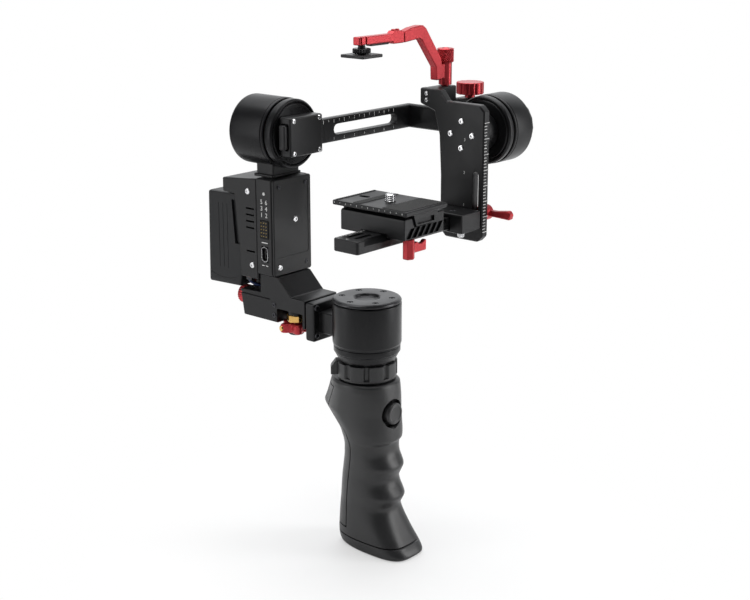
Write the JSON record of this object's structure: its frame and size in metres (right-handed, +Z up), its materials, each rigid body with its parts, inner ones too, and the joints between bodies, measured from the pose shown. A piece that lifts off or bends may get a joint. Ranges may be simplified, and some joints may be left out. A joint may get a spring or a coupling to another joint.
{
  "type": "gimbal stabilizer",
  "caption": "Hand-held three-axis camera gimbal with a pistol grip, controller box with battery, sliding balance arms, camera platform and a top hot-shoe clamp.",
  "frame": {"origin": "on the pan axis, in the plane of the grip's base", "axes": "+Z up along the pan axis, -Y the way the camera looks, +X the camera's left-hand side"},
  "size_m": [0.1676, 0.1841, 0.3316],
  "materials": {
    "black_plastic": "moulded black plastic with a fine matt grain",
    "controller_plastic": "smooth satin black plastic",
    "battery_plastic": "dark grey battery case, lightly textured",
    "black_anodised": "machined aluminium, black anodised, satin",
    "red_anodised": "machined aluminium, red anodised, bright edges",
    "brass": "plain turned brass",
    "steel": "nickel-plated steel",
    "copper": "enamelled copper windings",
    "circuit_board": "green solder mask",
    "cable_jacket": "soft dark blue cable jacket"
  },
  "bodies": {
    "grip": {"grip_shell": "black_plastic", "grip_backstrap": "black_plastic", "grip_bottom_cap": "black_plastic", "grip_core_tube": "steel", "button_switch": "circuit_board", "pan_motor_base": "black_anodised", "pan_stator": "copper", "pan_bearing": "steel"},
    "button": {"grip_button": "black_plastic"},
    "collar": {"lock_collar": "black_plastic"},
    "pan_head": {"pan_motor_housing": "black_anodised", "pan_motor_cap": "black_anodised", "pan_shaft": "steel", "pan_magnet_ring": "steel", "pan_bracket": "black_anodised", "arm_rail": "black_anodised"},
    "arm": {"arm_foot": "black_anodised", "wing_nut": "brass", "arm_cable": "cable_jacket", "controller_housing": "controller_plastic", "controller_cover": "controller_plastic", "controller_board": "circuit_board", "cover_screw_lower": "steel", "cover_screw_middle": "steel", "pin_header": "black_plastic", "data_socket": "steel", "battery_holder": "controller_plastic", "holder_screw_top": "steel", "holder_screw_bottom": "steel", "roll_motor_housing": "black_anodised", "roll_stator": "copper", "roll_bearing": "steel"},
    "wing": {"wing_knob": "red_anodised"},
    "arm_lock": {"arm_wheel": "red_anodised", "arm_lock_screw": "steel"},
    "battery": {"battery_pack": "battery_plastic"},
    "roll_head": {"roll_rotor": "black_anodised", "roll_clamp": "black_anodised"},
    "roll_frame": {"roll_arm": "black_anodised", "tilt_slide_clamp": "black_anodised"},
    "tilt_lock": {"tilt_clamp_knob": "red_anodised"},
    "tilt_mount": {"tilt_arm": "black_anodised", "tilt_motor_housing": "black_anodised", "tilt_stator": "copper"},
    "tilt_head": {"tilt_rotor": "black_anodised", "height_plate": "black_anodised", "clamp_post": "black_anodised"},
    "stage": {"height_carriage": "black_anodised", "lateral_bar": "black_anodised", "carriage_screw": "steel"},
    "stage_lever": {"height_lever": "red_anodised"},
    "base": {"release_base": "black_anodised"},
    "base_lever": {"release_lever": "red_anodised"},
    "platform": {"camera_plate": "black_anodised"},
    "platform_screw": {"camera_screw": "steel"},
    "top_clamp": {"top_bar": "red_anodised", "top_arm": "red_anodised", "shoe_foot": "black_anodised"},
    "top_clamp_lock": {"top_clamp_screw": "red_anodised"},
    "shoe_lock": {"shoe_wheel": "black_anodised"}
  },
  "joints": [
    {"name": "button_press", "type": "slide", "parent": "grip", "child": "button", "axis": [0, 1, 0], "range_m": [0, 0.0015]},
    {"name": "collar_turn", "type": "hinge", "parent": "grip", "child": "collar", "pos_m": [0, 0, 0.12], "axis": [0, 0, 1], "range_deg": [0, 60]},
    {"name": "pan", "type": "hinge", "parent": "grip", "child": "pan_head", "pos_m": [0, 0, 0.15], "axis": [0, 0, 1], "continuous": true},
    {"name": "arm_slide", "type": "slide", "parent": "pan_head", "child": "arm", "axis": [0, 1, 0], "range_m": [0, 0.012]},
    {"name": "wing_turn", "type": "hinge", "parent": "arm", "child": "wing", "pos_m": [-0.0095, 0.053, 0.139], "axis": [0, 0, 1], "range_deg": [0, 180]},
    {"name": "arm_wheel_turn", "type": "hinge", "parent": "arm", "child": "arm_lock", "pos_m": [-0.006, 0.1, 0.152], "axis": [0, 1, 0], "range_deg": [0, 180]},
    {"name": "battery_pull", "type": "slide", "parent": "arm", "child": "battery", "axis": [0, 1, 0], "range_m": [0, 0.015]},
    {"name": "roll", "type": "hinge", "parent": "arm", "child": "roll_head", "pos_m": [0, 0.06, 0.264], "axis": [0, 1, 0], "range_deg": [-30, 30], "stiffness_Nm_per_rad": 20},
    {"name": "roll_arm_slide", "type": "slide", "parent": "roll_head", "child": "roll_frame", "axis": [1, 0, 0], "range_m": [-0.006, 0.006]},
    {"name": "tilt_knob_turn", "type": "hinge", "parent": "roll_frame", "child": "tilt_lock", "pos_m": [0.117, 0.0099, 0.285], "axis": [0, 0, 1], "range_deg": [0, 180]},
    {"name": "tilt_slide", "type": "slide", "parent": "roll_frame", "child": "tilt_mount", "axis": [0, 1, 0], "range_m": [-0.012, 0.0045]},
    {"name": "tilt", "type": "hinge", "parent": "tilt_mount", "child": "tilt_head", "pos_m": [0.09, -0.022, 0.264], "axis": [1, 0, 0], "range_deg": [-45, 45], "stiffness_Nm_per_rad": 20},
    {"name": "height_slide", "type": "slide", "parent": "tilt_head", "child": "stage", "axis": [0, 0, 1], "range_m": [-0.006, 0.024]},
    {"name": "height_lever_turn", "type": "hinge", "parent": "stage", "child": "stage_lever", "pos_m": [0.076, -0.034, 0.2136], "axis": [1, 0, 0], "range_deg": [0, 60]},
    {"name": "lateral_slide", "type": "slide", "parent": "stage", "child": "base", "axis": [1, 0, 0], "range_m": [-0.02, 0.018]},
    {"name": "release_lever_turn", "type": "hinge", "parent": "base", "child": "base_lever", "pos_m": [-0.0065, -0.039, 0.206], "axis": [0, 0, 1], "range_deg": [-90, 0]},
    {"name": "plate_slide", "type": "slide", "parent": "base", "child": "platform", "axis": [0, 1, 0], "range_m": [-0.01, 0.012]},
    {"name": "camera_screw_turn", "type": "hinge", "parent": "platform", "child": "platform_screw", "pos_m": [0.0035, -0.016, 0.226], "axis": [0, 0, 1], "continuous": true},
    {"name": "top_clamp_slide", "type": "slide", "parent": "tilt_head", "child": "top_clamp", "axis": [0, 0, 1], "range_m": [0, 0.008]},
    {"name": "top_screw_turn", "type": "hinge", "parent": "top_clamp", "child": "top_clamp_lock", "pos_m": [0.086, 0.007, 0.3], "axis": [0, 0, 1], "range_deg": [0, 180]},
    {"name": "shoe_wheel_turn", "type": "hinge", "parent": "top_clamp", "child": "shoe_lock", "pos_m": [0.0035, 0.007, 0.32], "axis": [0, 0, 1], "range_deg": [0, 180]}
  ]
}
